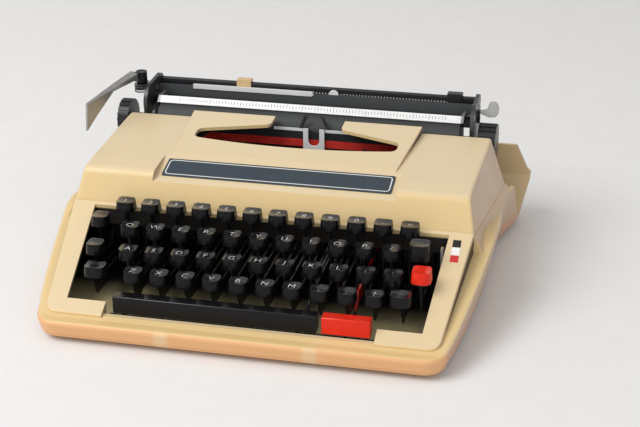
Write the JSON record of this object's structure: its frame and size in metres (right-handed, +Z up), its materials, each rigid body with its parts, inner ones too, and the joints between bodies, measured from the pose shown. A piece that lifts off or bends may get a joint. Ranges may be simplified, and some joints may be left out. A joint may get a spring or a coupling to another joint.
{
  "type": "portable typewriter",
  "caption": "Portable manual typewriter: low pan with sloping key surround, four-row keyboard, lift-off ribbon cover, type basket and sliding carriage with platen, bail and return lever.",
  "frame": {"origin": "on the table, under the middle of the whole machine's width and depth, level with the bottom of the rubber feet", "axes": "+X to the typist's right along the keyboard rows and the carriage, +Y away from the typist towards the carriage, +Z up"},
  "size_m": [0.3464, 0.2913, 0.119],
  "materials": {
    "pan_paint": "satin",
    "cover_paint": "satin",
    "plate_face": "satin",
    "dark_steel": "satin",
    "bright_steel": "satin",
    "bright_plate": "polished",
    "key_black": "satin",
    "key_red": "satin",
    "knob_black": "matte",
    "rubber_black": "matte",
    "ribbon_ink": "matte",
    "card_white": "satin",
    "stop_cream": "satin",
    "release_clear": "satin",
    "bell_brass": "polished"
  },
  "bodies": {
    "base": {"base_pan": "pan_paint", "rubber_feet": "rubber_black", "key_surround": "pan_paint", "chassis_frame": "dark_steel", "carriage_rails": "bright_steel", "key_lever_axle": "bright_steel", "guide_comb": "dark_steel", "type_segment": "bright_steel", "typebars": "bright_steel", "type_rest": "dark_steel", "type_guide": "card_white", "card_holder": "dark_steel", "spool_cups": "dark_steel", "ribbon": "ribbon_ink", "spindle_posts": "bright_steel", "margin_bell": "bell_brass"},
    "cover": {"ribbon_cover": "cover_paint", "name_plate": "plate_face"},
    "number_row": {"key_caps_number_row": "key_black", "key_levers_number_row": "dark_steel"},
    "upper_row": {"key_caps_upper_row": "key_black", "key_levers_upper_row": "dark_steel"},
    "home_row": {"key_caps_home_row": "key_black", "key_levers_home_row": "dark_steel"},
    "bottom_row": {"key_caps_bottom_row": "key_black", "key_levers_bottom_row": "dark_steel"},
    "sample_key": {"sample_key_cap": "key_black", "sample_key_lever": "dark_steel"},
    "sample_bar": {"sample_typebar": "bright_steel"},
    "margin_release": {"margin_release_key": "key_black"},
    "shift_lock": {"shift_lock_key": "key_black"},
    "shift": {"shift_keys": "key_black"},
    "backspace": {"backspace_key": "key_black"},
    "tabulator": {"tab_key": "key_red"},
    "space": {"space_bar": "key_black"},
    "repeat": {"repeat_spacer": "key_red"},
    "selector": {"ribbon_selector": "bright_steel"},
    "left_spool": {"ribbon_spool_left": "knob_black"},
    "right_spool": {"ribbon_spool_right": "knob_black"},
    "mainspring": {"mainspring_drum": "dark_steel"},
    "escapement": {"escapement_wheel": "dark_steel"},
    "carriage": {"carriage_bed": "dark_steel", "end_plate_left": "bright_steel", "end_plate_right": "bright_steel", "paper_table": "dark_steel", "paper_support": "card_white", "rear_bar": "dark_steel", "margin_rack": "dark_steel", "feed_rollers": "rubber_black", "lever_bracket": "bright_steel"},
    "roller": {"platen": "rubber_black", "platen_knob_left": "knob_black", "platen_knob_right": "knob_black", "ratchet_wheel": "bright_steel"},
    "bail": {"paper_bail": "bright_plate"},
    "line_lever": {"return_lever": "bright_steel"},
    "release": {"paper_release_lever": "release_clear"},
    "left_stop": {"margin_stop_left": "stop_cream"},
    "right_stop": {"margin_stop_right": "knob_black"}
  },
  "joints": [
    {"name": "cover_lift", "type": "slide", "parent": "base", "child": "cover", "axis": [0, 0, 1], "range_m": [0, 0.025]},
    {"name": "number_row_press", "type": "hinge", "parent": "base", "child": "number_row", "pos_m": [0, 0.042, 0.0265], "axis": [1, 0, 0], "range_deg": [0, 5], "stiffness_Nm_per_rad": 2, "springref_deg": -8.59},
    {"name": "upper_row_press", "type": "hinge", "parent": "base", "child": "upper_row", "pos_m": [0, 0.042, 0.0265], "axis": [1, 0, 0], "range_deg": [0, 5], "stiffness_Nm_per_rad": 2, "springref_deg": -8.59},
    {"name": "home_row_press", "type": "hinge", "parent": "base", "child": "home_row", "pos_m": [0, 0.042, 0.0265], "axis": [1, 0, 0], "range_deg": [0, 5], "stiffness_Nm_per_rad": 2, "springref_deg": -8.59},
    {"name": "bottom_row_press", "type": "hinge", "parent": "base", "child": "bottom_row", "pos_m": [0, 0.042, 0.0265], "axis": [1, 0, 0], "range_deg": [0, 5], "stiffness_Nm_per_rad": 2, "springref_deg": -8.59},
    {"name": "sample_key_press", "type": "hinge", "parent": "base", "child": "sample_key", "pos_m": [0, 0.042, 0.0265], "axis": [1, 0, 0], "range_deg": [0, 5], "stiffness_Nm_per_rad": 2, "springref_deg": -8.59},
    {"name": "margin_release_press", "type": "hinge", "parent": "base", "child": "margin_release", "pos_m": [0, 0.042, 0.0265], "axis": [1, 0, 0], "range_deg": [0, 5], "stiffness_Nm_per_rad": 2, "springref_deg": -8.59},
    {"name": "shift_lock_press", "type": "hinge", "parent": "base", "child": "shift_lock", "pos_m": [0, 0.042, 0.0265], "axis": [1, 0, 0], "range_deg": [0, 5], "stiffness_Nm_per_rad": 2, "springref_deg": -8.59},
    {"name": "shift_press", "type": "hinge", "parent": "base", "child": "shift", "pos_m": [0, 0.042, 0.0265], "axis": [1, 0, 0], "range_deg": [0, 5], "stiffness_Nm_per_rad": 2, "springref_deg": -8.59},
    {"name": "backspace_press", "type": "hinge", "parent": "base", "child": "backspace", "pos_m": [0, 0.042, 0.0265], "axis": [1, 0, 0], "range_deg": [0, 5], "stiffness_Nm_per_rad": 2, "springref_deg": -8.59},
    {"name": "tabulator_press", "type": "hinge", "parent": "base", "child": "tabulator", "pos_m": [0, 0.042, 0.0265], "axis": [1, 0, 0], "range_deg": [0, 5], "stiffness_Nm_per_rad": 2, "springref_deg": -8.59},
    {"name": "space_press", "type": "hinge", "parent": "base", "child": "space", "pos_m": [0, 0.042, 0.0265], "axis": [1, 0, 0], "range_deg": [0, 1.8], "stiffness_Nm_per_rad": 2, "springref_deg": -8.59},
    {"name": "repeat_press", "type": "hinge", "parent": "base", "child": "repeat", "pos_m": [0, 0.042, 0.0265], "axis": [1, 0, 0], "range_deg": [0, 1.8], "stiffness_Nm_per_rad": 2, "springref_deg": -8.59},
    {"name": "sample_bar_swing", "type": "hinge", "parent": "base", "child": "sample_bar", "pos_m": [0.0065, 0.07, 0.0335], "axis": [-1, 0, 0], "range_deg": [0, 90]},
    {"name": "selector_turn", "type": "hinge", "parent": "base", "child": "selector", "pos_m": [0.128, -0.022, 0.033], "axis": [1, 0, 0], "range_deg": [-4, 4]},
    {"name": "left_spool_turn", "type": "hinge", "parent": "base", "child": "left_spool", "pos_m": [-0.088, 0.01, 0.066], "axis": [0, 0, 1], "continuous": true},
    {"name": "right_spool_turn", "type": "hinge", "parent": "base", "child": "right_spool", "pos_m": [0.088, 0.01, 0.066], "axis": [0, 0, 1], "continuous": true},
    {"name": "mainspring_turn", "type": "hinge", "parent": "base", "child": "mainspring", "pos_m": [-0.07, 0.098, 0.032], "axis": [0, 0, 1], "continuous": true},
    {"name": "escapement_turn", "type": "hinge", "parent": "base", "child": "escapement", "pos_m": [0, 0.103, 0.039], "axis": [0, 0, 1], "continuous": true},
    {"name": "carriage_travel", "type": "slide", "parent": "base", "child": "carriage", "axis": [1, 0, 0], "range_m": [-0.11, 0.11]},
    {"name": "platen_turn", "type": "hinge", "parent": "carriage", "child": "roller", "pos_m": [0, 0.095, 0.0795], "axis": [1, 0, 0], "continuous": true},
    {"name": "bail_lift", "type": "hinge", "parent": "carriage", "child": "bail", "pos_m": [0, 0.106, 0.096], "axis": [-1, 0, 0], "range_deg": [0, 60]},
    {"name": "line_lever_pull", "type": "hinge", "parent": "carriage", "child": "line_lever", "pos_m": [-0.1415, 0.096, 0.11], "axis": [0, 0, 1], "range_deg": [0, 30]},
    {"name": "release_pull", "type": "hinge", "parent": "carriage", "child": "release", "pos_m": [0.1315, 0.104, 0.096], "axis": [1, 0, 0], "range_deg": [0, 25]},
    {"name": "left_stop_slide", "type": "slide", "parent": "carriage", "child": "left_stop", "axis": [1, 0, 0], "range_m": [-0.05, 0.08]},
    {"name": "right_stop_slide", "type": "slide", "parent": "carriage", "child": "right_stop", "axis": [1, 0, 0], "range_m": [-0.045, 0.01]}
  ],
  "couplings": [
    {"joint": "sample_bar_swing", "follows": "sample_key_press", "ratio": 18}
  ]
}
